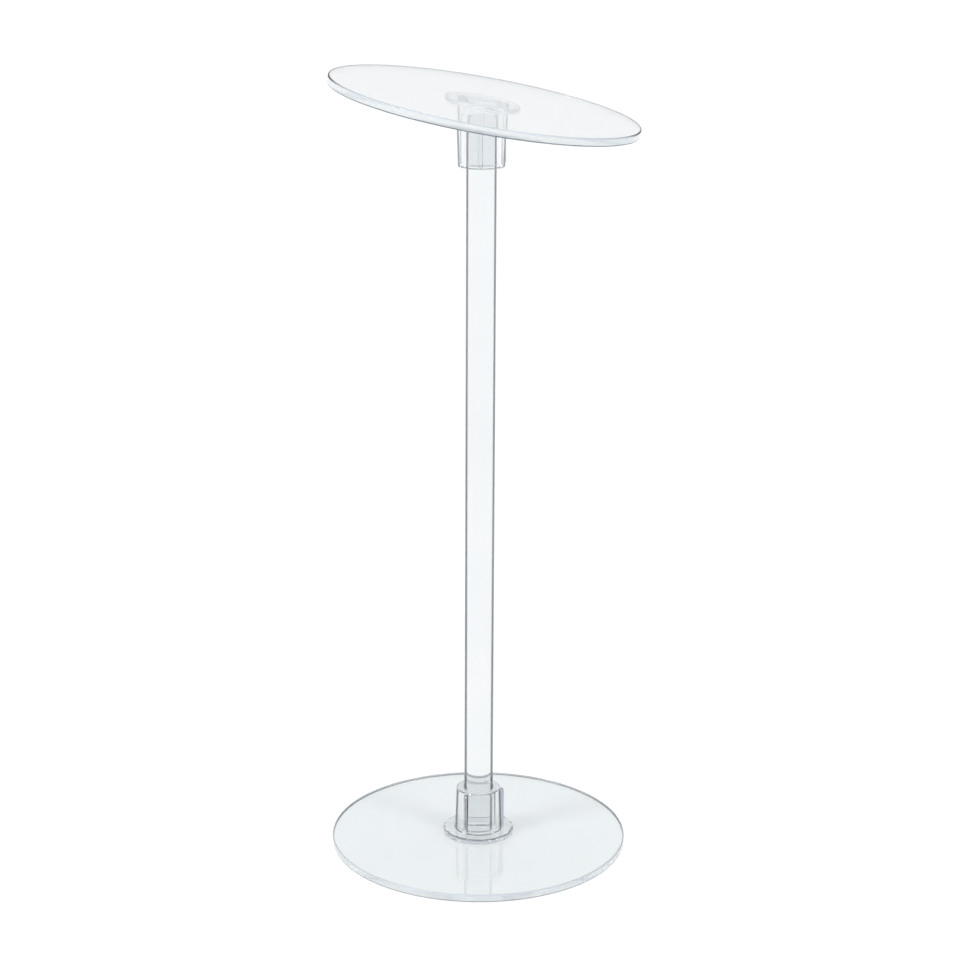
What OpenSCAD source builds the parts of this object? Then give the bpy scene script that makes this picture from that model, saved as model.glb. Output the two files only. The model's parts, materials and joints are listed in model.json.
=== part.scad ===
// Slant-top pedestal stand in clear acrylic: a round base disc and a sloping round top disc,
// joined by a rod that pushes into a ribbed socket at each end.
// Origin: centre of the base disc's underside. +Z is up, and the top slopes down towards +X.

/* [Discs] */
// Diameter of both discs
disc_d = 123; // [100:1:180]
// Thickness of the sheet that both discs are cut from
sheet_t = 3.2; // [2.5:0.1:5]
// Radius of the polished rims of a disc
disc_edge = 0.5; // [0.1:0.1:0.6]
// Slope of the top disc, in degrees
tilt = 10; // [4:1:14]
// How far the top disc sits downhill of the middle of its flange
disc_shift = 0.9; // [0:0.1:2]

/* [Rod] */
// Diameter of the rod
rod_d = 12; // [8:0.5:12]
// Length of the rod
rod_l = 297.5; // [150:0.5:400]
// Chamfer at both ends of the rod
rod_chamfer = 0.5; // [0.2:0.1:1]

/* [Sockets] */
// Depth of the bore that takes the rod
socket_depth = 18; // [14:0.5:20]
// Gap between the rod and the wall of its bore
rod_gap = 0.05; // [0.02:0.01:0.1]
// Chamfer at the mouth of the bore
mouth_chamfer = 0.3; // [0.1:0.1:0.6]
// Distance from the base disc's top face up to the end of the rod
base_stack = 2; // [1.5:0.1:4]
// Distance from the end of the rod up to the top disc's underside, on the rod's axis
head_stack = 5; // [3.5:0.1:9]
// Diameter of the hub at its open end
hub_tip_d = 18.5; // [18:0.1:19]
// Draft of the hub: how much its radius grows per millimetre away from the open end
hub_draft = 0.032; // [0:0.001:0.034]
// Rounded rim of the hub's open end
hub_edge = 0.5; // [0.2:0.1:1]
// Diameter of the flange
flange_d = 29.5; // [26:0.5:34]
// Thickness of the flange
flange_t = 2; // [1.6:0.1:2.6]
// Rounded rim of the flange
flange_edge = 0.8; // [0.3:0.1:1.2]
// Radius of the fillet between a hub and its flange
root_fillet = 0.8; // [0.4:0.1:1.2]

/* [Ribs] */
// Number of ribs round each hub
rib_count = 3; // [2:1:6]
// Width of a rib
rib_w = 1.5; // [1:0.1:2.5]
// Distance from the rod's axis to the outer face of a rib
rib_reach = 10.6; // [10.5:0.1:11.5]
// Rounded corner at a rib's free end
rib_round = 1.3; // [0.5:0.1:2]
// How far a rib stops short of the hub's open end
rib_drop = 0.5; // [0.2:0.1:2]
// Turn of the base socket's ribs about the rod, in degrees
base_rib_turn = 12; // [0:1:119]
// Turn of the top socket's ribs about the rod, in degrees
top_rib_turn = 42; // [0:1:119]

/* [Hidden] */
$fn = 96;
eps = 0.01;

clear_sheet = [0.90, 0.94, 0.95, 0.45];
clear_rod = [0.95, 0.97, 0.97, 0.45];
clear_moulding = [0.84, 0.87, 0.90, 0.55];

bore_r = rod_d / 2 + rod_gap;
// Radius inside the hub's wall at which a rib starts
rib_root = (bore_r + hub_tip_d / 2) / 2;

// Heights up the rod's axis
rod_foot_z = sheet_t + base_stack;
base_mouth_z = rod_foot_z + socket_depth;
rod_head_z = rod_foot_z + rod_l;
top_mouth_z = rod_head_z - socket_depth;
slope_z = rod_head_z + head_stack;
flange_top_z = sheet_t + flange_t;

// Height of the top hub from its mouth to its root, on the axis
top_root_h = slope_z - flange_t / cos(tilt) - top_mouth_z;
// How far the top fillet is let into its hub's wall, which leans against the sloping flange
lean_sink = root_fillet / 4;

// How far the sloping underside of the top disc climbs between the axis and the ribs
slope_rise = (rib_reach + rib_w) * tan(tilt);

// Radius of a hub at a distance h below its open end
function hub_r_at(h) = hub_tip_d / 2 + h * hub_draft;

// A flat round plate on z = 0, with both rims rounded
module plate() {
    rim_x = disc_d / 2 - disc_edge;
    rotate_extrude() {
        square([rim_x, sheet_t]);
        translate([0, disc_edge]) square([disc_d / 2, sheet_t - 2 * disc_edge]);
        for (y = [disc_edge, sheet_t - disc_edge])
            translate([rim_x, y]) circle(r = disc_edge);
    }
}

// The flange of a socket on z = 0, with its upper rim rounded
module flange() {
    rim_x = flange_d / 2 - flange_edge;
    rim_y = flange_t - flange_edge;
    rotate_extrude() {
        square([rim_x, flange_t]);
        square([flange_d / 2, rim_y]);
        translate([rim_x, rim_y]) circle(r = flange_edge);
    }
}

// A drafted hub that hangs below its open end at z = 0, down to z = -h
module hub(h) {
    tip_r = hub_tip_d / 2;
    rotate_extrude()
        difference() {
            polygon([[0, 0], [tip_r, 0], [hub_r_at(h), -h], [0, -h]]);
            translate([tip_r - hub_edge, -hub_edge])
                difference() {
                    square(2 * hub_edge);
                    circle(r = hub_edge);
                }
        }
}

// One rib of a hub, from its rounded free end near z = 0 down to z = -h
module rib(h) {
    rotate([90, 0, 0])
        linear_extrude(rib_w, center = true) {
            translate([rib_root, -h])
                square([rib_reach - rib_round - rib_root, h - rib_drop]);
            translate([rib_root, -h])
                square([rib_reach - rib_root, h - rib_drop - rib_round]);
            translate([rib_reach - rib_round, -rib_drop - rib_round])
                circle(r = rib_round);
        }
}

// A hub with its ribs, with its open end at z = 0
module ribbed_hub(h, turn) {
    hub(h);
    for (i = [0 : rib_count - 1])
        rotate(turn + i * 360 / rib_count) rib(h);
}

// The space that the end of the rod fills: a bore with its mouth at z = 0, going down
module rod_bore() {
    translate([0, 0, -socket_depth]) cylinder(h = socket_depth + eps, r = bore_r);
    translate([0, 0, -mouth_chamfer])
        cylinder(h = mouth_chamfer + eps, r1 = bore_r, r2 = bore_r + mouth_chamfer + eps);
}

// The fillet round the root of a hub, on the flange's inner face at z = 0
module root_ring(wall_r) {
    rotate_extrude()
        difference() {
            square([wall_r + root_fillet, root_fillet]);
            translate([wall_r + root_fillet, root_fillet]) circle(r = root_fillet);
        }
}

// Puts its children on the sloping underside of the top disc, with +Z out of the slope
module on_slope() {
    translate([0, 0, slope_z]) rotate([0, tilt, 0]) children();
}

module base_disc() {
    color(clear_sheet) plate();
}

module base_socket() {
    color(clear_moulding)
        difference() {
            union() {
                translate([0, 0, sheet_t]) flange();
                translate([0, 0, flange_top_z])
                    root_ring(hub_r_at(base_mouth_z - flange_top_z - root_fillet));
                translate([0, 0, base_mouth_z]) ribbed_hub(base_mouth_z - sheet_t, base_rib_turn);
            }
            translate([0, 0, base_mouth_z]) rod_bore();
        }
}

module rod() {
    end_r = rod_d / 2 - rod_chamfer;
    color(clear_rod)
        translate([0, 0, rod_foot_z]) {
            cylinder(h = rod_chamfer, r1 = end_r, r2 = rod_d / 2);
            translate([0, 0, rod_chamfer]) cylinder(h = rod_l - 2 * rod_chamfer, d = rod_d);
            translate([0, 0, rod_l - rod_chamfer])
                cylinder(h = rod_chamfer, r1 = rod_d / 2, r2 = end_r);
        }
}

module top_socket() {
    room = 2 * flange_d;
    color(clear_moulding)
        difference() {
            union() {
                on_slope()
                    mirror([0, 0, 1]) {
                        flange();
                        translate([flange_t * tan(tilt), 0, flange_t])
                            root_ring(hub_r_at(top_root_h) - lean_sink);
                    }
                translate([0, 0, top_mouth_z])
                    mirror([0, 0, 1])
                        ribbed_hub(slope_z + slope_rise - top_mouth_z, top_rib_turn);
            }
            on_slope() translate([-room / 2, -room / 2, 0]) cube(room);
            translate([0, 0, top_mouth_z]) mirror([0, 0, 1]) rod_bore();
        }
}

module top_disc() {
    color(clear_sheet) on_slope() translate([disc_shift, 0, 0]) plate();
}

base_disc();
base_socket();
rod();
top_socket();
top_disc();
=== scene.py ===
"""Slant-top pedestal stand in clear acrylic, on a pale studio floor.

Every piece is built at its real size and place, in metres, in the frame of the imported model:
the origin is the centre of the base disc's underside, +Z is up, and the top slopes down to +X.
"""

import json
import logging
import math
from dataclasses import dataclass, replace
from enum import Enum

import bmesh
import bpy
from mathutils import Matrix, Vector


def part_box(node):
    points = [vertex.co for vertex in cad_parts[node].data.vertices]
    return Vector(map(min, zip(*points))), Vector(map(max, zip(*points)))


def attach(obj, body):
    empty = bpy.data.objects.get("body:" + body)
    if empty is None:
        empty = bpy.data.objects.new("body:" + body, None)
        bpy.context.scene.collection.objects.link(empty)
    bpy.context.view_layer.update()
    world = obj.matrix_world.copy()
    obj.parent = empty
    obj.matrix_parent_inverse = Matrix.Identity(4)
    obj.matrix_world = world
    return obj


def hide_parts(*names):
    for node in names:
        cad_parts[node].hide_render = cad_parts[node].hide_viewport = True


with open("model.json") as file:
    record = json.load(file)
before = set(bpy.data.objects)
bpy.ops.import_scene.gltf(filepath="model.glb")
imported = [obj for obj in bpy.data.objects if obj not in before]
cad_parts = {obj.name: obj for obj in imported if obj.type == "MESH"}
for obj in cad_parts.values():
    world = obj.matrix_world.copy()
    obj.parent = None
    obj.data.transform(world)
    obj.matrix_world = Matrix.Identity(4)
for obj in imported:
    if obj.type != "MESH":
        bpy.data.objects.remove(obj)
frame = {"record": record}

MM = 0.001
FULL_TURN = 2 * math.pi
# How far two cemented faces are sunk into each other, so that light crosses the bond
BOND = 0.02 * MM
# Air left between faces that only rest on each other
AIR = 0.02 * MM
# Points that are closer than this count as one
NEAR = 0.001 * MM
# How far hubs, ribs and bores are built past the faces that end them
SPARE = 1.0 * MM
# Corners that turn more than this stay sharp
SHARP_ANGLE = math.radians(34)
# A socket's face is a wall if at least this share of its normal is level
WALL_SHARE = 0.9
# A wall is a rib's if at least this share of its normal points round the rod
RIB_SHARE = 0.35
# How often light may pass through the clear pieces, and how often it may be mirrored
CLEAR_BOUNCES = 32
MIRROR_BOUNCES = 16

log = logging.getLogger("stand")


class Slot(Enum):
    """The record's material slots."""

    SHEET = "clear_sheet"
    ROD = "clear_rod"
    MOULDING = "clear_moulding"


class Corner(Enum):
    """How a corner is finished, as its number of bevel segments."""

    CHAMFER = 1
    ROUND = 5


class DiscRegion(Enum):
    """The regions of a disc's surface, as material indices."""

    FLAT = 0
    # The rim and both arrises take finishes with painted shade
    RIM = 1
    TOP_ARRIS = 2
    LOW_ARRIS = 3


class SocketRegion(Enum):
    """The regions of a socket's surface, as material indices."""

    BODY = 0
    # The hub's outer wall, whose finishes are painted lighter on the base socket and darker on the top
    # one, both with painted edge shade
    SKIN = 1
    # The ribs' side walls, whose finish carries painted shade
    RIB_WALL_PAINTED_SHADE = 2
    FLANGE_RIM = 3


class Join(Enum):
    """How one solid is combined with another."""

    UNION = "UNION"
    DIFFERENCE = "DIFFERENCE"


# ---------------------------------------------------------------- shader groups


@dataclass(frozen=True)
class GroupSocket:
    """One input or output of a shader node group.

    Args:
        name: the socket's name.
        kind: the socket's Blender type.
        is_input: True for an input, False for an output.
        value: the input's default value, where it has one.
    """

    name: str
    kind: str
    is_input: bool
    value: object = None


class ShaderGroup:
    """A shader node group that is built once and placed in several materials."""

    name: str = ""
    sockets: tuple[GroupSocket, ...] = ()

    def __init__(self) -> None:
        """Makes the group, its sockets and its nodes."""
        self.tree = bpy.data.node_groups.new(self.name, "ShaderNodeTree")
        for entry in self.sockets:
            side = "INPUT" if entry.is_input else "OUTPUT"
            made = self.tree.interface.new_socket(entry.name, in_out=side, socket_type=entry.kind)
            if entry.value is not None:
                made.default_value = entry.value
        self.inputs = self.tree.nodes.new("NodeGroupInput")
        self.outputs = self.tree.nodes.new("NodeGroupOutput")
        self.build()

    def build(self) -> None:
        """Adds the group's own nodes."""
        raise NotImplementedError

    def node(self, kind: str, **settings: object) -> bpy.types.Node:
        """Adds one node to the group.

        Args:
            kind: the node's Blender type.
            **settings: properties to set on it.

        Returns:
            The new node.
        """
        return add_node(self.tree, kind, **settings)

    def place(self, tree: bpy.types.NodeTree, **values: object) -> bpy.types.Node:
        """Puts the group into a material.

        Args:
            tree: the material's node tree.
            **values: input values, with underscores for the spaces in their names.

        Returns:
            The group's node in that tree.
        """
        placed = tree.nodes.new("ShaderNodeGroup")
        placed.node_tree = self.tree
        for name, value in values.items():
            placed.inputs[name.replace("_", " ")].default_value = value
        return placed


def add_node(tree: bpy.types.NodeTree, kind: str, **settings: object) -> bpy.types.Node:
    """Adds one node to a tree.

    Args:
        tree: the tree to add it to.
        kind: the node's Blender type.
        **settings: properties to set on it.

    Returns:
        The new node.
    """
    made = tree.nodes.new(kind)
    for name, value in settings.items():
        setattr(made, name, value)
    return made


class TintDrift(ShaderGroup):
    """The faint, cloudy drift of colour through cast or moulded clear stock.

    Where its noise is below thin the tint is plain, and above dense it is the deep tint.
    """

    name = "tint_drift"
    detail = 1.0
    thin = 0.35
    dense = 0.65
    sockets = (
        GroupSocket("Vector", "NodeSocketVector", True),
        GroupSocket("Tint", "NodeSocketColor", True, (0.95, 0.97, 0.97, 1.0)),
        GroupSocket("Deep Tint", "NodeSocketColor", True, (0.92, 0.95, 0.96, 1.0)),
        GroupSocket("Scale", "NodeSocketFloat", True, 20.0),
        GroupSocket("Colour", "NodeSocketColor", False),
    )

    def build(self) -> None:
        """Mixes the two tints by a soft noise."""
        noise = self.node("ShaderNodeTexNoise")
        noise.inputs["Detail"].default_value = self.detail
        ramp = self.node("ShaderNodeMapRange", interpolation_type="SMOOTHSTEP")
        ramp.inputs["From Min"].default_value = self.thin
        ramp.inputs["From Max"].default_value = self.dense
        mix = self.node("ShaderNodeMix", data_type="RGBA")
        link = self.tree.links.new
        link(self.inputs.outputs["Vector"], noise.inputs["Vector"])
        link(self.inputs.outputs["Scale"], noise.inputs["Scale"])
        link(noise.outputs["Fac"], ramp.inputs["Value"])
        link(ramp.outputs["Result"], mix.inputs["Factor"])
        link(self.inputs.outputs["Tint"], mix.inputs["A"])
        link(self.inputs.outputs["Deep Tint"], mix.inputs["B"])
        link(mix.outputs["Result"], self.outputs.inputs["Colour"])


class Polish(ShaderGroup):
    """Polished plastic: roughness that drifts, and the low waves that polishing leaves."""

    name = "polish"
    detail = 2.0
    sockets = (
        GroupSocket("Vector", "NodeSocketVector", True),
        GroupSocket("Scale", "NodeSocketFloat", True, 60.0),
        GroupSocket("Smoothest", "NodeSocketFloat", True, 0.0),
        GroupSocket("Roughest", "NodeSocketFloat", True, 0.02),
        GroupSocket("Roughness", "NodeSocketFloat", False),
        GroupSocket("Height", "NodeSocketFloat", False),
    )

    def build(self) -> None:
        """Reads one noise for the roughness and for the height of the waves."""
        noise = self.node("ShaderNodeTexNoise")
        noise.inputs["Detail"].default_value = self.detail
        spread = self.node("ShaderNodeMapRange")
        link = self.tree.links.new
        link(self.inputs.outputs["Vector"], noise.inputs["Vector"])
        link(self.inputs.outputs["Scale"], noise.inputs["Scale"])
        link(noise.outputs["Fac"], spread.inputs["Value"])
        link(self.inputs.outputs["Smoothest"], spread.inputs["To Min"])
        link(self.inputs.outputs["Roughest"], spread.inputs["To Max"])
        link(spread.outputs["Result"], self.outputs.inputs["Roughness"])
        link(noise.outputs["Fac"], self.outputs.inputs["Height"])


# ---------------------------------------------------------------- finishes


@dataclass(frozen=True)
class ClearFinish:
    """A clear plastic surface.

    Args:
        name: the material's name.
        tint: the colour that light keeps on its way through; the rim, arris, rib-wall, top-face and
            hub-skin finishes use it for painted shade or painted light.
        deep_tint: the same where the stock is a little denser.
        painted_edge_shade: the painted shade where the surface is seen edge-on, standing in for the
            dark surroundings that clear stock refracts there, or None for no change.
        edge_start: how far round, from 0 facing to 1 edge-on, the painted edge shade begins.
        edge_end: how far round the painted edge shade is full.
        edge_inside: True if only light that comes from inside the stock takes the painted edge shade.
        shade: the share of a lamp's light that each surface passes.
        grain: the stretch of the polish pattern along X, Y and Z.
        grain_scale: the scale of the polish pattern, in waves per metre.
        roughest: the highest roughness of the polish.
        wave: the height of the polish waves, in metres.
        index: the index of refraction.
        clearness: the share of light that goes on through instead of stopping at the surface.
    """

    name: str
    tint: tuple[float, float, float]
    deep_tint: tuple[float, float, float]
    painted_edge_shade: tuple[float, float, float] | None = None
    edge_start: float = 0.6
    edge_end: float = 1.0
    edge_inside: bool = False
    shade: float = 0.94
    grain: tuple[float, float, float] = (1.0, 1.0, 1.0)
    grain_scale: float = 60.0
    roughest: float = 0.01
    wave: float = 0.0
    index: float = 1.49
    clearness: float = 1.0

    def make(self, drift: TintDrift, polish: Polish) -> bpy.types.Material:
        """Builds the material.

        Args:
            drift: the group that varies the tint.
            polish: the group that varies the roughness and the height.

        Returns:
            The new material.
        """
        material = bpy.data.materials.new(self.name)
        material.use_nodes = True
        tree = material.node_tree
        tree.nodes.clear()
        link = tree.links.new
        place = add_node(tree, "ShaderNodeTexCoord")
        stretch = add_node(tree, "ShaderNodeMapping")
        stretch.inputs["Scale"].default_value = self.grain
        link(place.outputs["Object"], stretch.inputs["Vector"])

        surface = add_node(tree, "ShaderNodeBsdfPrincipled")
        surface.inputs["Transmission Weight"].default_value = self.clearness
        surface.inputs["IOR"].default_value = self.index

        colour = drift.place(tree, Tint=(*self.tint, 1.0), Deep_Tint=(*self.deep_tint, 1.0))
        link(place.outputs["Object"], colour.inputs["Vector"])
        link(self.paint_edge_shade(tree, colour.outputs["Colour"]), surface.inputs["Base Color"])

        finish = polish.place(tree, Scale=self.grain_scale, Roughest=self.roughest)
        link(stretch.outputs["Vector"], finish.inputs["Vector"])
        link(finish.outputs["Roughness"], surface.inputs["Roughness"])
        if self.wave > 0:
            bump = add_node(tree, "ShaderNodeBump")
            bump.inputs["Distance"].default_value = self.wave
            link(finish.outputs["Height"], bump.inputs["Height"])
            link(bump.outputs["Normal"], surface.inputs["Normal"])
        output = add_node(tree, "ShaderNodeOutputMaterial")
        link(self.lit_through(tree, surface), output.inputs["Surface"])
        return material

    def paint_edge_shade(self, tree: bpy.types.NodeTree, colour: bpy.types.NodeSocket) -> bpy.types.NodeSocket:
        """Paints shade into a colour where the clear stock is seen edge-on, in place of the dark
        surroundings that it refracts there.

        Args:
            tree: the material's node tree.
            colour: the colour to deepen.

        Returns:
            The socket with the result, which is the same colour if there is no painted edge shade.
        """
        if self.painted_edge_shade is None:
            return colour
        # Painted shade: the colour darkens towards edge-on views, standing in for dark refracted
        # surroundings
        facing = add_node(tree, "ShaderNodeLayerWeight")
        ramp = add_node(tree, "ShaderNodeMapRange", interpolation_type="SMOOTHSTEP")
        ramp.inputs["From Min"].default_value = self.edge_start
        ramp.inputs["From Max"].default_value = self.edge_end
        mix = add_node(tree, "ShaderNodeMix", data_type="RGBA")
        mix.inputs["B"].default_value = (*self.painted_edge_shade, 1.0)
        amount = ramp.outputs["Result"]
        if self.edge_inside:
            inside = add_node(tree, "ShaderNodeNewGeometry")
            both = add_node(tree, "ShaderNodeMath", operation="MULTIPLY")
            tree.links.new(amount, both.inputs[0])
            tree.links.new(inside.outputs["Backfacing"], both.inputs[1])
            amount = both.outputs["Value"]
        tree.links.new(facing.outputs["Facing"], ramp.inputs["Value"])
        tree.links.new(amount, mix.inputs["Factor"])
        tree.links.new(colour, mix.inputs["A"])
        return mix.outputs["Result"]

    def lit_through(self, tree: bpy.types.NodeTree, surface: bpy.types.Node) -> bpy.types.NodeSocket:
        """Lets the light of lamps through the clear stock, a little dimmed.

        Args:
            tree: the material's node tree.
            surface: the shader that everything else sees.

        Returns:
            The socket with the mixed shader.
        """
        path = add_node(tree, "ShaderNodeLightPath")
        light = add_node(tree, "ShaderNodeMath", operation="MAXIMUM")
        open_side = add_node(tree, "ShaderNodeBsdfTransparent")
        open_side.inputs["Color"].default_value = (self.shade, self.shade, self.shade, 1.0)
        mix = add_node(tree, "ShaderNodeMixShader")
        tree.links.new(path.outputs["Is Shadow Ray"], light.inputs[0])
        tree.links.new(path.outputs["Is Diffuse Ray"], light.inputs[1])
        tree.links.new(light.outputs["Value"], mix.inputs["Fac"])
        tree.links.new(surface.outputs["BSDF"], mix.inputs[1])
        tree.links.new(open_side.outputs["BSDF"], mix.inputs[2])
        return mix.outputs["Shader"]


@dataclass(frozen=True)
class FloorFinish:
    """Matt pale studio paper.

    Args:
        name: the material's name.
        colour: the paper's colour.
        mottle: the slightly deeper colour of its faint mottle.
        mottle_scale: the scale of the mottle, in waves per metre.
        roughness: the paper's roughness.
    """

    name: str = "studio_paper"
    colour: tuple[float, float, float] = (0.86, 0.86, 0.86)
    mottle: tuple[float, float, float] = (0.85, 0.85, 0.85)
    mottle_scale: float = 4.0
    roughness: float = 0.9

    def make(self, drift: TintDrift) -> bpy.types.Material:
        """Builds the material.

        Args:
            drift: the group that varies the colour.

        Returns:
            The new material.
        """
        material = bpy.data.materials.new(self.name)
        material.use_nodes = True
        tree = material.node_tree
        surface = tree.nodes["Principled BSDF"]
        surface.inputs["Roughness"].default_value = self.roughness
        surface.inputs["Specular IOR Level"].default_value = 0.0
        place = add_node(tree, "ShaderNodeTexCoord")
        colour = drift.place(
            tree,
            Tint=(*self.colour, 1.0),
            Deep_Tint=(*self.mottle, 1.0),
            Scale=self.mottle_scale,
        )
        tree.links.new(place.outputs["Object"], colour.inputs["Vector"])
        tree.links.new(colour.outputs["Colour"], surface.inputs["Base Color"])
        return material


BASE_FACE = ClearFinish(
    "base_sheet_face", tint=(0.92, 0.955, 0.965), deep_tint=(0.915, 0.95, 0.96), roughest=0.05
)
# Painted light: the top disc is the same sheet as the base disc, given a lighter tint so that its
# faces look brighter
TOP_FACE_PAINTED_LIGHT = replace(
    BASE_FACE, name="top_sheet_face_painted_light", tint=(0.97, 0.98, 0.985), deep_tint=(0.965, 0.975, 0.98)
)
# Painted shade: the sheet's rim and arrises are given grey, partly opaque finishes, darkest on the
# lower arris, in place of the dark lines that clear edges refract; the rim seen edge-on from inside
# and the upper arris also get painted edge shade
SHEET_RIM_PAINTED_SHADE = ClearFinish(
    "sheet_rim_painted_shade",
    tint=(0.76, 0.785, 0.795),
    deep_tint=(0.72, 0.755, 0.77),
    painted_edge_shade=(0.01, 0.01, 0.015),
    edge_start=0.28,
    edge_end=0.36,
    edge_inside=True,
    grain=(1, 1, 4),
    roughest=0.06,
    clearness=0.55,
)
SHEET_TOP_ARRIS_PAINTED_SHADE = ClearFinish(
    "sheet_top_arris_painted_shade",
    tint=(0.62, 0.67, 0.72),
    deep_tint=(0.58, 0.63, 0.69),
    painted_edge_shade=(0.03, 0.03, 0.04),
    edge_start=0.55,
    edge_end=0.8,
    roughest=0.8,
    clearness=0.3,
)
SHEET_LOW_ARRIS_PAINTED_SHADE = ClearFinish(
    "sheet_low_arris_painted_shade",
    tint=(0.16, 0.19, 0.22),
    deep_tint=(0.13, 0.16, 0.19),
    roughest=0.8,
    clearness=0.2,
)
# Painted shade: near-black edge lines where the rod's sides are seen edge-on; the rod's tint itself is
# its own colour
ROD_SIDE = ClearFinish(
    "rod_side",
    tint=(0.86, 0.875, 0.885),
    deep_tint=(0.84, 0.86, 0.87),
    painted_edge_shade=(0.02, 0.025, 0.03),
    edge_start=0.42,
    edge_end=0.55,
    shade=0.88,
    grain=(1, 1, 0.1),
)
MOULDING = ClearFinish(
    "moulding",
    tint=(0.96, 0.965, 0.975),
    deep_tint=(0.94, 0.95, 0.965),
    grain=(1, 1, 0.15),
    grain_scale=300.0,
    wave=0.00002,
)
FLANGE_RIM = replace(
    MOULDING, name="flange_rim", grain=(1, 1, 1), grain_scale=260.0, wave=0.0015, roughest=0.02
)
# Painted light and shade: the base hub's outer wall is the same moulding given a lighter tint, with
# painted dark edges where it is seen edge-on
BASE_SKIN_PAINTED_LIGHT_AND_SHADE = replace(
    MOULDING,
    name="base_hub_skin_painted_light_and_shade",
    tint=(0.98, 0.98, 0.985),
    deep_tint=(0.95, 0.955, 0.965),
    painted_edge_shade=(0.02, 0.022, 0.03),
    edge_start=0.52,
    edge_end=0.68,
)
# Painted shade: the top hub's outer wall is given a darker tint than the base hub's, and keeps the
# painted dark edges
TOP_SKIN_PAINTED_SHADE = replace(
    BASE_SKIN_PAINTED_LIGHT_AND_SHADE, name="top_hub_skin_painted_shade", tint=(0.92, 0.93, 0.945), deep_tint=(0.86, 0.88, 0.90)
)
# Painted shade: the ribs' side walls are the same moulding given a grey, partly opaque finish, with
# painted dark edges where they are seen edge-on
RIB_WALL_PAINTED_SHADE = ClearFinish(
    "rib_wall_painted_shade",
    tint=(0.50, 0.54, 0.60),
    deep_tint=(0.42, 0.46, 0.52),
    painted_edge_shade=(0.01, 0.012, 0.02),
    edge_start=0.2,
    edge_end=0.42,
    roughest=0.3,
    clearness=0.5,
)


# ---------------------------------------------------------------- mesh helpers


def mesh_object(name: str, shape: bmesh.types.BMesh) -> bpy.types.Object:
    """Turns a bmesh into an object at the origin and frees the bmesh.

    Args:
        name: the object's name.
        shape: the finished bmesh.

    Returns:
        The new object.
    """
    mesh = bpy.data.meshes.new(name)
    bmesh.ops.recalc_face_normals(shape, faces=shape.faces)
    shape.to_mesh(mesh)
    shape.free()
    made = bpy.data.objects.new(name, mesh)
    bpy.context.scene.collection.objects.link(made)
    return made


def bevel_edges(shape: bmesh.types.BMesh, edges: list, offset: float, corner: Corner) -> list:
    """Bevels some edges of a bmesh.

    Args:
        shape: the bmesh.
        edges: the edges to bevel.
        offset: the bevel's width on each side.
        corner: whether the bevel is flat or round.

    Returns:
        The new faces.
    """
    made = bmesh.ops.bevel(
        shape,
        geom=edges,
        offset=offset,
        offset_type="OFFSET",
        affect="EDGES",
        segments=corner.value,
        profile=0.5,
        material=-1,
    )
    return made["faces"]


def rim_edges(shape: bmesh.types.BMesh, radius: float, height: float) -> list:
    """The edges of a ring round the Z axis.

    Args:
        shape: the bmesh.
        radius: the ring's radius.
        height: the ring's height.

    Returns:
        The edges whose two ends lie on that ring.
    """

    def on_ring(point: Vector) -> bool:
        """True if a point lies on the ring."""
        return abs(point.z - height) < NEAR and abs(point.xy.length - radius) < NEAR

    return [edge for edge in shape.edges if all(on_ring(end.co) for end in edge.verts)]


def round_bar(radius: float, low: float, high: float, segments: int) -> bmesh.types.BMesh:
    """A straight round bar along Z.

    Args:
        radius: the bar's radius.
        low: the height of its lower end.
        high: the height of its upper end.
        segments: the number of sides.

    Returns:
        The bar, as a closed bmesh with one face at each end.
    """
    shape = bmesh.new()
    made = bmesh.ops.create_circle(shape, cap_ends=True, segments=segments, radius=radius)
    bmesh.ops.translate(shape, verts=made["verts"], vec=(0, 0, low))
    raised = bmesh.ops.extrude_face_region(shape, geom=list(shape.faces), use_keep_orig=True)
    top = [item for item in raised["geom"] if isinstance(item, bmesh.types.BMVert)]
    bmesh.ops.translate(shape, verts=top, vec=(0, 0, high - low))
    return shape


def turned(outline: list[tuple[float, float]], segments: int) -> bmesh.types.BMesh:
    """Turns an outline round the Z axis.

    Args:
        outline: points of radius and height, from one place on the axis to another.
        segments: the number of steps in the turn.

    Returns:
        The turned solid, as a closed bmesh.
    """
    shape = bmesh.new()
    points = [shape.verts.new((radius, 0, height)) for radius, height in outline]
    for first, second in zip(points, points[1:]):
        shape.edges.new((first, second))
    bmesh.ops.spin(
        shape,
        geom=[*shape.verts, *shape.edges],
        cent=(0, 0, 0),
        axis=(0, 0, 1),
        angle=FULL_TURN,
        steps=segments,
        use_merge=True,
    )
    bmesh.ops.remove_doubles(shape, verts=shape.verts, dist=NEAR)
    return shape


def combine(target: bpy.types.Object, tool: bpy.types.Object, join: Join) -> None:
    """Joins or cuts a solid with another, merges what meets, and removes the tool.

    Args:
        target: the solid that stays.
        tool: the solid that is added or cut away.
        join: which of the two it is.
    """
    step = target.modifiers.new("combine", "BOOLEAN")
    step.operation = join.value
    step.solver = "EXACT"
    step.object = tool
    graph = bpy.context.evaluated_depsgraph_get()
    mesh = bpy.data.meshes.new_from_object(target.evaluated_get(graph))
    target.modifiers.clear()
    target.data = mesh
    bpy.data.objects.remove(tool)
    shape = bmesh.new()
    shape.from_mesh(mesh)
    bmesh.ops.remove_doubles(shape, verts=shape.verts, dist=NEAR)
    bmesh.ops.dissolve_degenerate(shape, edges=shape.edges, dist=NEAR)
    shape.to_mesh(mesh)
    shape.free()


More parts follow.
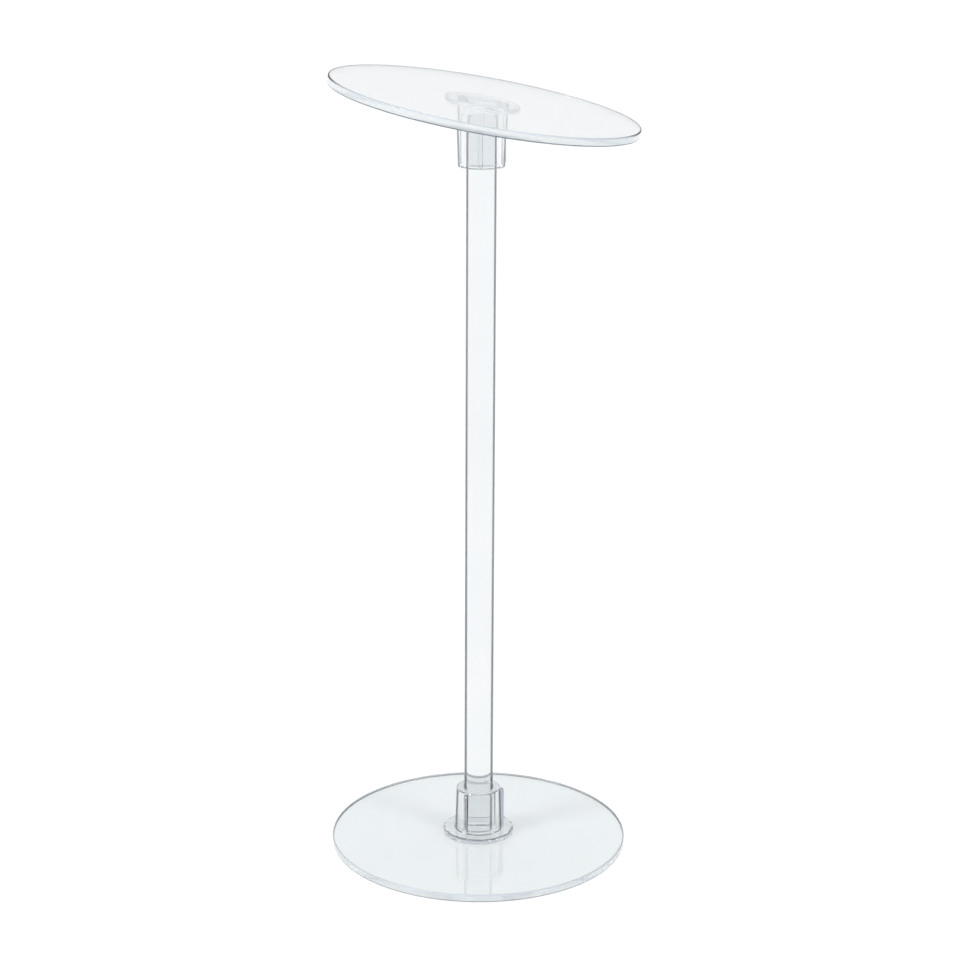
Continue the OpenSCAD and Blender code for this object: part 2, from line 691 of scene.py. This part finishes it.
def smooth_faces(piece: bpy.types.Object) -> None:
    """Smooths a piece's round faces, keeps its corners sharp and its flat faces flat.

    Args:
        piece: the piece.
    """
    piece.data.shade_smooth()
    piece.data.set_sharp_from_angle(angle=SHARP_ANGLE)
    even = piece.modifiers.new("even_shading", "WEIGHTED_NORMAL")
    even.mode = "FACE_AREA"
    # The highest weight, with which large faces outweigh small ones
    even.weight = 100
    even.keep_sharp = True


# ---------------------------------------------------------------- sub-assemblies


@dataclass
class Slope:
    """The plane of the top disc's upper face.

    Args:
        centre: the middle of the face.
        normal: the face's outward normal.
    """

    centre: Vector
    normal: Vector

    @classmethod
    def from_record(cls, record: dict) -> "Slope":
        """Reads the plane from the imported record's rest face.

        Args:
            record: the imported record.

        Returns:
            The slope.
        """
        mount = next(m for m in record["mounts"] if m["name"] == "rest_face")
        return cls(Vector(mount["pos_m"]), Vector(mount["axis"]).normalized())

    def matrix(self, origin: Vector) -> Matrix:
        """Takes flat work at the world's origin onto the slope.

        Args:
            origin: the point that the world's origin goes to.

        Returns:
            The placing matrix.
        """
        turn = Vector((0, 0, 1)).rotation_difference(self.normal).to_matrix().to_4x4()
        return Matrix.Translation(origin) @ turn

    def below(self, depth: float) -> Vector:
        """The point on the rod's axis that lies a given depth under the face."""
        height = self.centre.dot(self.normal) - depth
        return Vector((0, 0, height / self.normal.z))


@dataclass
class Disc:
    """A round plate of clear sheet with rounded arrises.

    Args:
        name: the piece's name.
        node: the CAD node that it stands for.
        body: the body that it rides on.
        radius: the plate's radius.
        thickness: the sheet's thickness.
        place: takes the plate, flat on the world's origin, to its place.
        arris: the radius of the rounded arrises.
        segments: the number of steps round the rim.
    """

    name: str
    node: str
    body: str
    radius: float
    thickness: float
    place: Matrix
    arris: float = 0.5 * MM
    segments: int = 360

    def build(self, finishes: list[bpy.types.Material]) -> bpy.types.Object:
        """Builds and dresses the disc.

        Args:
            finishes: one for each region of the disc's surface, in the order of DiscRegion.

        Returns:
            The finished piece.
        """
        shape = round_bar(self.radius, 0, self.thickness, self.segments)
        edges = rim_edges(shape, self.radius, 0) + rim_edges(shape, self.radius, self.thickness)
        arrises = bevel_edges(shape, edges, self.arris, Corner.ROUND)
        for side in shape.faces:
            flat = len(side.verts) == self.segments
            side.material_index = (DiscRegion.FLAT if flat else DiscRegion.RIM).value
        for side in arrises:
            upper = side.calc_center_median().z > self.thickness / 2
            side.material_index = (DiscRegion.TOP_ARRIS if upper else DiscRegion.LOW_ARRIS).value
        bmesh.ops.transform(shape, matrix=self.place, verts=shape.verts)
        piece = mesh_object(self.name, shape)
        for material in finishes:
            piece.data.materials.append(material)
        return dress(piece, self.node, self.body)


@dataclass
class Rod:
    """The straight clear rod.

    Args:
        radius: the rod's radius.
        low: the height of its lower end.
        high: the height of its upper end.
        chamfer: the chamfer at both ends.
        segments: the number of steps round the rod.
    """

    radius: float
    low: float
    high: float
    chamfer: float = 0.5 * MM
    segments: int = 192

    def build(self, side: bpy.types.Material) -> bpy.types.Object:
        """Builds and dresses the rod.

        Args:
            side: the rod's finish.

        Returns:
            The finished piece.
        """
        low, high = self.low + AIR, self.high - AIR
        shape = round_bar(self.radius, low, high, self.segments)
        edges = rim_edges(shape, self.radius, low) + rim_edges(shape, self.radius, high)
        bevel_edges(shape, edges, self.chamfer, Corner.CHAMFER)
        piece = mesh_object("clear_rod", shape)
        piece.data.materials.append(side)
        return dress(piece, "rod", "column")


@dataclass
class Socket:
    """A ribbed socket with a flange, which takes one end of the rod.

    Args:
        name: the piece's name.
        node: the CAD node that it stands for.
        body: the body that it rides on.
        mouth: the height of the bore's mouth.
        seat: takes the flange, flat on the world's origin with its rounded rim up, to its place.
        reach: the hub's length, from its mouth to just past the flange's flat face.
        facing: 1 if the mouth faces up, -1 if it faces down.
        rib_turn: the turn of the first rib about the rod, in degrees.
        flange_radius: the flange's radius.
        flange_thickness: the flange's thickness.
        flange_round: the radius of the flange's rounded rim.
        hub_tip: the hub's radius at its mouth.
        hub_draft: how much the hub's radius grows for each unit of its length.
        hub_round: the radius of the hub's rounded mouth edge.
        bore_radius: the bore's radius.
        bore_depth: the bore's depth.
        mouth_chamfer: the chamfer of the bore's mouth.
        root_fillet: the radius of the fillet between the hub and the flange.
        root_sink: how far the fillet's ring starts inside the hub's wall.
        root_steps: the number of steps along the fillet's arc.
        rib_count: the number of ribs.
        rib_width: a rib's width.
        rib_reach: how far the ribs' outer walls are from the rod's axis.
        rib_drop: how far the ribs stop short of the mouth.
        rib_round: the radius of a rib's free outer corner.
        rib_arris: the radius of a rib's long edges.
        segments: the number of steps round the hub, the flange and the bore.
    """

    name: str
    node: str
    body: str
    mouth: float
    seat: Matrix
    reach: float
    facing: int
    rib_turn: float
    flange_radius: float
    flange_thickness: float = 2.0 * MM
    flange_round: float = 0.8 * MM
    hub_tip: float = 9.25 * MM
    hub_draft: float = 0.032
    hub_round: float = 0.5 * MM
    bore_radius: float = 6.05 * MM
    bore_depth: float = 18.0 * MM
    mouth_chamfer: float = 0.3 * MM
    root_fillet: float = 0.8 * MM
    root_sink: float = 0.2 * MM
    root_steps: int = 8
    rib_count: int = 3
    rib_width: float = 1.5 * MM
    rib_reach: float = 10.6 * MM
    rib_drop: float = 0.5 * MM
    rib_round: float = 1.3 * MM
    rib_arris: float = 0.2 * MM
    segments: int = 192

    def build(self, finishes: list[bpy.types.Material]) -> bpy.types.Object:
        """Builds and dresses the socket.

        Args:
            finishes: one for each region of the socket's surface, in the order of SocketRegion.

        Returns:
            The finished piece.
        """
        piece = self.hub()
        for tool in (self.flange(), self.root_ring()):
            combine(piece, tool, Join.UNION)
        for index in range(self.rib_count):
            combine(piece, self.rib(self.rib_turn + 360 * index / self.rib_count), Join.UNION)
        for tool in (self.waste(), self.bore()):
            combine(piece, tool, Join.DIFFERENCE)
        piece.data.materials.clear()
        for material in finishes:
            piece.data.materials.append(material)
        for side in piece.data.polygons:
            side.material_index = self.region(side).value
        return dress(piece, self.node, self.body)

    def region(self, side: bpy.types.MeshPolygon) -> SocketRegion:
        """Finds the region of the socket's surface that a face belongs to.

        Args:
            side: a face of the finished socket.

        Returns:
            The region.
        """
        spot, level = side.center.xy, side.normal.xy
        if spot.length > self.flange_radius - self.flange_round:
            return SocketRegion.FLANGE_RIM
        in_bore = spot.length < self.mid_wall()
        past_ribs = spot.length > self.rib_reach + self.rib_width / 2
        if in_bore or past_ribs or level.length < WALL_SHARE:
            return SocketRegion.BODY
        across = abs(level.cross(spot.normalized()))
        return SocketRegion.RIB_WALL_PAINTED_SHADE if across > RIB_SHARE else SocketRegion.SKIN

    def mid_wall(self) -> float:
        """The distance from the rod's axis to the middle of the hub's wall, at its mouth."""
        return (self.bore_radius + self.hub_tip) / 2

    def upright(self) -> Matrix:
        """Takes work whose open end is at z = 0, with the hub below, to the socket's place."""
        flip = Matrix.Diagonal((1, 1, self.facing, 1))
        return Matrix.Translation((0, 0, self.mouth)) @ flip

    def hub(self) -> bpy.types.Object:
        """The drafted hub, from its mouth to past the flange's flat face.

        Returns:
            The hub, without its bore.
        """
        wide = self.hub_tip + self.reach * self.hub_draft
        outline = [(0, 0), (self.hub_tip, 0), (wide, -self.reach), (0, -self.reach)]
        shape = turned(outline, self.segments)
        bevel_edges(shape, rim_edges(shape, self.hub_tip, 0), self.hub_round, Corner.ROUND)
        bmesh.ops.transform(shape, matrix=self.upright(), verts=shape.verts)
        return mesh_object(self.name, shape)

    def flange(self) -> bpy.types.Object:
        """The round flange, with the rim on the hub's side rounded.

        Returns:
            The flange as a solid.
        """
        shape = round_bar(self.flange_radius, 0, self.flange_thickness, self.segments)
        edges = rim_edges(shape, self.flange_radius, self.flange_thickness)
        bevel_edges(shape, edges, self.flange_round, Corner.ROUND)
        bmesh.ops.transform(shape, matrix=self.seat, verts=shape.verts)
        return mesh_object("flange_tool", shape)

    def root(self) -> Matrix:
        """Takes flat work to where the rod's axis crosses the flange's inner face.

        Returns:
            The placing matrix.
        """
        turn = self.seat.to_3x3()
        up = turn @ Vector((0, 0, 1))
        inner = self.seat @ Vector((0, 0, self.flange_thickness))
        return Matrix.Translation((0, 0, inner.dot(up) / up.z)) @ turn.to_4x4()

    def root_ring(self) -> bpy.types.Object:
        """The ring that fills the corner between the hub and the flange's inner face.

        Returns:
            The ring as a solid, without its hole, sunk into the flange.
        """
        root, fillet = self.root(), self.root_fillet
        hub_length = abs(root.translation.z - self.mouth) - fillet
        wall = self.hub_tip + hub_length * self.hub_draft - self.root_sink
        turns = [math.pi / 2 * step / self.root_steps for step in range(self.root_steps + 1)]
        hollow = [
            (wall + fillet - fillet * math.sin(turn), fillet - fillet * math.cos(turn))
            for turn in turns
        ]
        sunk = -self.flange_thickness / 2
        outline = [(0, sunk), (wall + fillet, sunk), *hollow, (0, fillet)]
        shape = turned(outline, self.segments)
        bmesh.ops.transform(shape, matrix=root, verts=shape.verts)
        return mesh_object("root_tool", shape)

    def rib(self, turn: float) -> bpy.types.Object:
        """One rib, from inside the hub's wall out to its rounded free end.

        Args:
            turn: the rib's turn about the rod, in degrees.

        Returns:
            The rib as a solid.
        """
        root = self.mid_wall()
        length = self.reach - self.rib_drop
        shape = bmesh.new()
        made = bmesh.ops.create_cube(shape, size=1.0)
        size = (self.rib_reach - root, self.rib_width, length)
        bmesh.ops.scale(shape, verts=made["verts"], vec=size)
        middle = ((self.rib_reach + root) / 2, 0, -self.rib_drop - length / 2)
        bmesh.ops.translate(shape, verts=made["verts"], vec=middle)
        corner = [
            edge
            for edge in shape.edges
            if all(end.co.z > middle[2] and end.co.x > middle[0] for end in edge.verts)
        ]
        bevel_edges(shape, corner, self.rib_round, Corner.ROUND)
        bevel_edges(shape, self.rib_arrises(shape, root), self.rib_arris, Corner.ROUND)
        about_rod = Matrix.Rotation(math.radians(turn), 3, "Z")
        bmesh.ops.rotate(shape, verts=shape.verts, matrix=about_rod)
        bmesh.ops.transform(shape, matrix=self.upright(), verts=shape.verts)
        return mesh_object("rib_tool", shape)

    def rib_arrises(self, shape: bmesh.types.BMesh, root: float) -> list:
        """The long edges of a rib's two side walls.

        Args:
            shape: the rib, along +X.
            root: how far from the rod's axis the rib starts.

        Returns:
            The edges, without those at the rib's root and at its sunk end.
        """
        low = -self.reach + NEAR

        def along_wall(edge: bmesh.types.BMEdge) -> bool:
            """Tells the edges round a side wall from the rest.

            Args:
                edge: an edge of the rib.

            Returns:
                True if the edge is one of a side wall's long edges.
            """
            first, second = (end.co for end in edge.verts)
            at_root = max(first.x, second.x) < root + NEAR
            at_end = max(first.z, second.z) < low
            return first.y * second.y > 0 and not at_root and not at_end

        return [edge for edge in shape.edges if along_wall(edge)]

    def waste(self) -> bpy.types.Object:
        """What is cut off behind the flange's flat face.

        Returns:
            The waste as a block that is wider than the flange.
        """
        room = 4 * self.flange_radius
        shape = bmesh.new()
        made = bmesh.ops.create_cube(shape, size=room)
        bmesh.ops.translate(shape, verts=made["verts"], vec=(0, 0, -room / 2))
        bmesh.ops.transform(shape, matrix=self.seat, verts=shape.verts)
        return mesh_object("waste_tool", shape)

    def bore(self) -> bpy.types.Object:
        """The space that the rod's end fills, with its chamfered mouth.

        Returns:
            The space as a solid, which reaches a little out of the mouth.
        """
        wide = self.bore_radius + self.mouth_chamfer
        outline = [
            (0, -self.bore_depth),
            (self.bore_radius, -self.bore_depth),
            (self.bore_radius, -self.mouth_chamfer),
            (wide, 0),
            (wide, SPARE),
            (0, SPARE),
        ]
        shape = turned(outline, self.segments)
        bmesh.ops.transform(shape, matrix=self.upright(), verts=shape.verts)
        return mesh_object("bore_tool", shape)


def dress(piece: bpy.types.Object, node: str, body: str) -> bpy.types.Object:
    """Shades a piece and ties it to the frame.

    Args:
        piece: the piece.
        node: the CAD node that it stands for.
        body: the body that it rides on.

    Returns:
        The same piece.
    """
    smooth_faces(piece)
    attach(piece, body)
    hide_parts(node)
    log.info("%s: %d faces, rides on %s", piece.name, len(piece.data.polygons), body)
    return piece


# ---------------------------------------------------------------- studio


@dataclass(frozen=True)
class Lamp:
    """A large soft sun-like lamp.

    Args:
        name: the lamp's name.
        azimuth: the side that the light comes from, in degrees from -Y round towards +X.
        height: its height above the horizon, in degrees.
        spread: its angular size, in degrees.
        strength: its strength, in watts per square metre.
    """

    name: str
    azimuth: float
    height: float
    spread: float
    strength: float

    def make(self) -> None:
        """Adds the lamp to the scene."""
        data = bpy.data.lights.new(self.name, "SUN")
        data.angle = math.radians(self.spread)
        data.energy = self.strength
        lamp = bpy.data.objects.new(self.name, data)
        turn, lift = math.radians(self.azimuth), math.radians(self.height)
        source = Vector(
            (math.sin(turn) * math.cos(lift), -math.cos(turn) * math.cos(lift), math.sin(lift))
        )
        lamp.rotation_mode = "QUATERNION"
        lamp.rotation_quaternion = source.to_track_quat("Z", "Y")
        bpy.context.scene.collection.objects.link(lamp)


@dataclass
class Studio:
    """The floor, the lamps and the surroundings that the clear stock mirrors.

    Args:
        floor_half: half the floor's side.
        floor_drop: the air between the floor and the base disc.
        horizon: the brightness of the surroundings at the horizon, the same as the floor's.
        horizon_end: the height, in degrees, at which that brightness has faded.
        low_sky: the brightness of the surroundings a little above the horizon.
        high_sky: their brightness overhead.
        sky_turn: the height, in degrees, at which one starts to give way to the other.
        sky_end: the height, in degrees, at which the change ends.
        tone: the colour of the surroundings.
    """

    floor_half: float = 16.0
    floor_drop: float = 0.1 * MM
    horizon: float = 1.1
    horizon_end: float = 8.0
    low_sky: float = 0.85
    high_sky: float = 0.08
    sky_turn: float = 25.0
    sky_end: float = 50.0
    tone: tuple[float, float, float] = (0.965, 0.985, 1.0)

    def build(self, drift: TintDrift) -> None:
        """Builds the floor, the lamps and the surroundings.

        Args:
            drift: the group that varies the floor's colour.
        """
        shape = bmesh.new()
        bmesh.ops.create_grid(shape, x_segments=1, y_segments=1, size=self.floor_half)
        bmesh.ops.translate(shape, verts=shape.verts, vec=(0, 0, -self.floor_drop))
        floor = mesh_object("floor", shape)
        floor.data.materials.append(FloorFinish().make(drift))
        for lamp in (
            Lamp("lamp_left", azimuth=-45, height=50, spread=12, strength=2.1),
            Lamp("lamp_right", azimuth=65, height=50, spread=12, strength=1.6),
        ):
            lamp.make()
        self.surroundings()

    def surroundings(self) -> None:
        """A pale room, bright near the horizon and darker overhead."""
        world = bpy.data.worlds.new("studio")
        bpy.context.scene.world = world
        world.use_nodes = True
        tree = world.node_tree
        link = tree.links.new
        way = add_node(tree, "ShaderNodeTexCoord")
        split = add_node(tree, "ShaderNodeSeparateXYZ")
        link(way.outputs["Generated"], split.inputs["Vector"])
        high = self.fade(tree, split.outputs["Z"], self.sky_turn, self.sky_end)
        high.inputs["To Min"].default_value = self.low_sky
        high.inputs["To Max"].default_value = self.high_sky
        low = self.fade(tree, split.outputs["Z"], 0, self.horizon_end)
        low.inputs["To Min"].default_value = self.horizon - self.low_sky
        low.inputs["To Max"].default_value = 0.0
        total = add_node(tree, "ShaderNodeMath", operation="ADD")
        link(high.outputs["Result"], total.inputs[0])
        link(low.outputs["Result"], total.inputs[1])
        room = tree.nodes["Background"]
        room.inputs["Color"].default_value = (*self.tone, 1.0)
        link(total.outputs["Value"], room.inputs["Strength"])

    def fade(
        self, tree: bpy.types.NodeTree, height: bpy.types.NodeSocket, start: float, end: float
    ) -> bpy.types.Node:
        """Adds a soft change of brightness between two heights above the horizon.

        Args:
            tree: the world's node tree.
            height: the upward share of the direction that is looked in.
            start: the height, in degrees, at which the change starts.
            end: the height, in degrees, at which it ends.

        Returns:
            The node that makes the change.
        """
        ramp = add_node(tree, "ShaderNodeMapRange", interpolation_type="SMOOTHSTEP")
        ramp.inputs["From Min"].default_value = math.sin(math.radians(start))
        ramp.inputs["From Max"].default_value = math.sin(math.radians(end))
        tree.links.new(height, ramp.inputs["Value"])
        return ramp


@dataclass
class Camera:
    """A long lens that looks a little down at the stand.

    Args:
        azimuth: the side that the camera stands on, in degrees from -Y round towards +X.
        distance: its distance from the rod's axis.
        height: its height above the floor.
        pitch: how far it looks down, in degrees.
        roll: its roll about its own axis, in degrees.
        lens: the focal length, in millimetres, on a sensor 36 mm wide.
    """

    azimuth: float = 13.87
    distance: float = 0.8828
    height: float = 0.4114
    pitch: float = 16.04
    roll: float = 0.273
    lens: float = 84.94

    def make(self) -> None:
        """Adds the camera and makes it the scene's."""
        data = bpy.data.cameras.new("camera")
        data.lens = self.lens
        camera = bpy.data.objects.new("camera", data)
        turn = math.radians(self.azimuth)
        place = Matrix.Translation(
            (self.distance * math.sin(turn), -self.distance * math.cos(turn), self.height)
        )
        look = (
            Matrix.Rotation(turn, 4, "Z")
            @ Matrix.Rotation(math.radians(90 - self.pitch), 4, "X")
            @ Matrix.Rotation(math.radians(self.roll), 4, "Z")
        )
        camera.matrix_world = place @ look
        bpy.context.scene.collection.objects.link(camera)
        bpy.context.scene.camera = camera


def set_rays() -> None:
    """Gives light enough bounces to pass through all the clear pieces, and keeps whites plain."""
    scene = bpy.context.scene
    scene.view_settings.view_transform = "Standard"
    scene.cycles.max_bounces = CLEAR_BOUNCES
    scene.cycles.transmission_bounces = CLEAR_BOUNCES
    scene.cycles.glossy_bounces = MIRROR_BOUNCES
    scene.cycles.transparent_max_bounces = CLEAR_BOUNCES
    scene.cycles.caustics_reflective = False
    scene.cycles.caustics_refractive = False


def main() -> None:
    """Builds the studio and the stand, and keeps the sizes of both models."""
    logging.basicConfig(level=logging.INFO, format="%(message)s")
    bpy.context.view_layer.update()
    drift, polish = TintDrift(), Polish()
    set_rays()
    Camera().make()
    Studio().build(drift)

    # The sheet's rim and arris finishes, which carry painted shade
    edges = [
        finish.make(drift, polish) for finish in (SHEET_RIM_PAINTED_SHADE, SHEET_TOP_ARRIS_PAINTED_SHADE, SHEET_LOW_ARRIS_PAINTED_SHADE)
    ]
    # The rib walls' finish carries painted shade
    moulding, rib_wall_painted_shade, flange_rim = (
        finish.make(drift, polish) for finish in (MOULDING, RIB_WALL_PAINTED_SHADE, FLANGE_RIM)
    )
    slope = Slope.from_record(frame["record"])
    base_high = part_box("base_disc")[1]
    seat_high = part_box("base_socket")[1]
    rod_low, rod_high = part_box("rod")
    top_low, top_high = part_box("top_socket")
    sheet = base_high.z

    Disc(
        name="base_plate",
        node="base_disc",
        body="base",
        radius=base_high.x,
        thickness=sheet,
        place=Matrix.Identity(4),
    ).build([BASE_FACE.make(drift, polish), *edges])
    Socket(
        name="base_rod_socket",
        node="base_socket",
        body="base",
        mouth=seat_high.z,
        seat=Matrix.Translation((0, 0, sheet - BOND)),
        reach=seat_high.z - sheet + SPARE,
        facing=1,
        rib_turn=12,
        flange_radius=seat_high.x,
    ).build([moulding, BASE_SKIN_PAINTED_LIGHT_AND_SHADE.make(drift, polish), rib_wall_painted_shade, flange_rim])
    Rod(radius=rod_high.x, low=rod_low.z, high=rod_high.z).build(ROD_SIDE.make(drift, polish))
    down = Matrix.Diagonal((1, 1, -1, 1))
    Socket(
        name="top_rod_socket",
        node="top_socket",
        body="head",
        mouth=top_low.z,
        seat=slope.matrix(slope.below(sheet) - AIR * slope.normal) @ down,
        reach=top_high.z - top_low.z + SPARE,
        facing=-1,
        rib_turn=42,
        flange_radius=seat_high.x,
    ).build([moulding, TOP_SKIN_PAINTED_SHADE.make(drift, polish), rib_wall_painted_shade, flange_rim])
    Disc(
        name="top_plate",
        node="top_disc",
        body="head",
        radius=base_high.x,
        thickness=sheet,
        place=slope.matrix(slope.centre - sheet * slope.normal),
    ).build([TOP_FACE_PAINTED_LIGHT.make(drift, polish), *edges])


if __name__ == "__main__":
    main()
